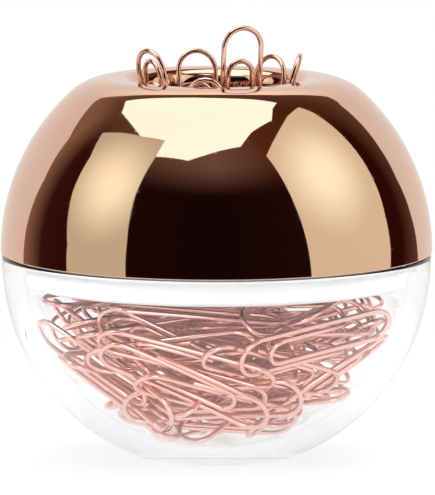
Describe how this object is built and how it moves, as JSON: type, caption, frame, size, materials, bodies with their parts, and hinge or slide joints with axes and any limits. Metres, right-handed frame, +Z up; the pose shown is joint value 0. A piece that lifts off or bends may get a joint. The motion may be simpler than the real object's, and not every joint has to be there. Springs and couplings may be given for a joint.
{
  "type": "magnetic paper clip holder",
  "caption": "Ball-shaped paper clip holder: a clear bowl of wire clips under a lift-off plated dome, whose ring magnet holds clips upright in its open throat.",
  "frame": {"origin": "middle of the bowl's flat foot, on the surface it stands on", "axes": "+Z up along the holder's turned axis; -Y is the front of the picture; +X is its right"},
  "size_m": [0.07, 0.07, 0.071],
  "materials": {
    "bowl_clear": "clear moulded plastic, thick walled",
    "dome_plate": "mirror copper plating over moulded plastic",
    "collar_white": "white moulded plastic",
    "magnet": "nickel-plated magnet",
    "carrier_black": "black moulded plastic",
    "clip_copper": "bright copper-plated steel wire"
  },
  "bodies": {
    "bowl": {"bowl": "bowl_clear", "clip_01": "clip_copper", "clip_02": "clip_copper", "clip_03": "clip_copper", "clip_04": "clip_copper", "clip_05": "clip_copper", "clip_06": "clip_copper", "clip_07": "clip_copper", "clip_08": "clip_copper", "clip_09": "clip_copper", "clip_10": "clip_copper", "clip_11": "clip_copper", "clip_12": "clip_copper", "clip_13": "clip_copper", "clip_14": "clip_copper", "clip_15": "clip_copper", "clip_16": "clip_copper", "clip_17": "clip_copper", "clip_18": "clip_copper", "clip_19": "clip_copper", "clip_20": "clip_copper", "clip_21": "clip_copper", "clip_22": "clip_copper", "clip_23": "clip_copper", "clip_24": "clip_copper", "clip_25": "clip_copper", "clip_26": "clip_copper", "clip_27": "clip_copper", "clip_28": "clip_copper", "clip_29": "clip_copper", "clip_30": "clip_copper", "clip_31": "clip_copper", "clip_32": "clip_copper", "clip_33": "clip_copper", "clip_34": "clip_copper", "clip_35": "clip_copper", "clip_36": "clip_copper", "clip_37": "clip_copper", "clip_38": "clip_copper", "clip_39": "clip_copper", "clip_40": "clip_copper", "clip_41": "clip_copper", "clip_42": "clip_copper", "clip_43": "clip_copper", "clip_44": "clip_copper", "clip_45": "clip_copper", "clip_46": "clip_copper", "clip_47": "clip_copper"},
    "dome": {"dome_shell": "dome_plate", "inner_collar": "collar_white", "ring_magnet": "magnet", "magnet_carrier": "carrier_black"},
    "throat_clip_1": {"throat_clip_1": "clip_copper"},
    "throat_clip_2": {"throat_clip_2": "clip_copper"},
    "throat_clip_3": {"throat_clip_3": "clip_copper"},
    "throat_clip_4": {"throat_clip_4": "clip_copper"},
    "throat_clip_5": {"throat_clip_5": "clip_copper"},
    "throat_clip_6": {"throat_clip_6": "clip_copper"},
    "throat_clip_7": {"throat_clip_7": "clip_copper"}
  },
  "joints": [
    {"name": "dome_lift", "type": "slide", "parent": "bowl", "child": "dome", "axis": [0, 0, 1], "range_m": [0, 0.04]},
    {"name": "throat_clip_1_lift", "type": "slide", "parent": "dome", "child": "throat_clip_1", "axis": [-0.0235, -0.2237, 0.9744], "range_m": [0, 0.03]},
    {"name": "throat_clip_2_lift", "type": "slide", "parent": "dome", "child": "throat_clip_2", "axis": [0.0425, -0.0955, 0.9945], "range_m": [0, 0.03]},
    {"name": "throat_clip_3_lift", "type": "slide", "parent": "dome", "child": "throat_clip_3", "axis": [0.309, 0, 0.9511], "range_m": [0, 0.03]},
    {"name": "throat_clip_4_lift", "type": "slide", "parent": "dome", "child": "throat_clip_4", "axis": [0.1349, 0.1349, 0.9816], "range_m": [0, 0.03]},
    {"name": "throat_clip_5_lift", "type": "slide", "parent": "dome", "child": "throat_clip_5", "axis": [-0.0494, 0.1843, 0.9816], "range_m": [0, 0.03]},
    {"name": "throat_clip_6_lift", "type": "slide", "parent": "dome", "child": "throat_clip_6", "axis": [-0.1724, -0.1163, 0.9781], "range_m": [0, 0.03]},
    {"name": "throat_clip_7_lift", "type": "slide", "parent": "dome", "child": "throat_clip_7", "axis": [-0.1669, -0.0479, 0.9848], "range_m": [0, 0.03]}
  ]
}
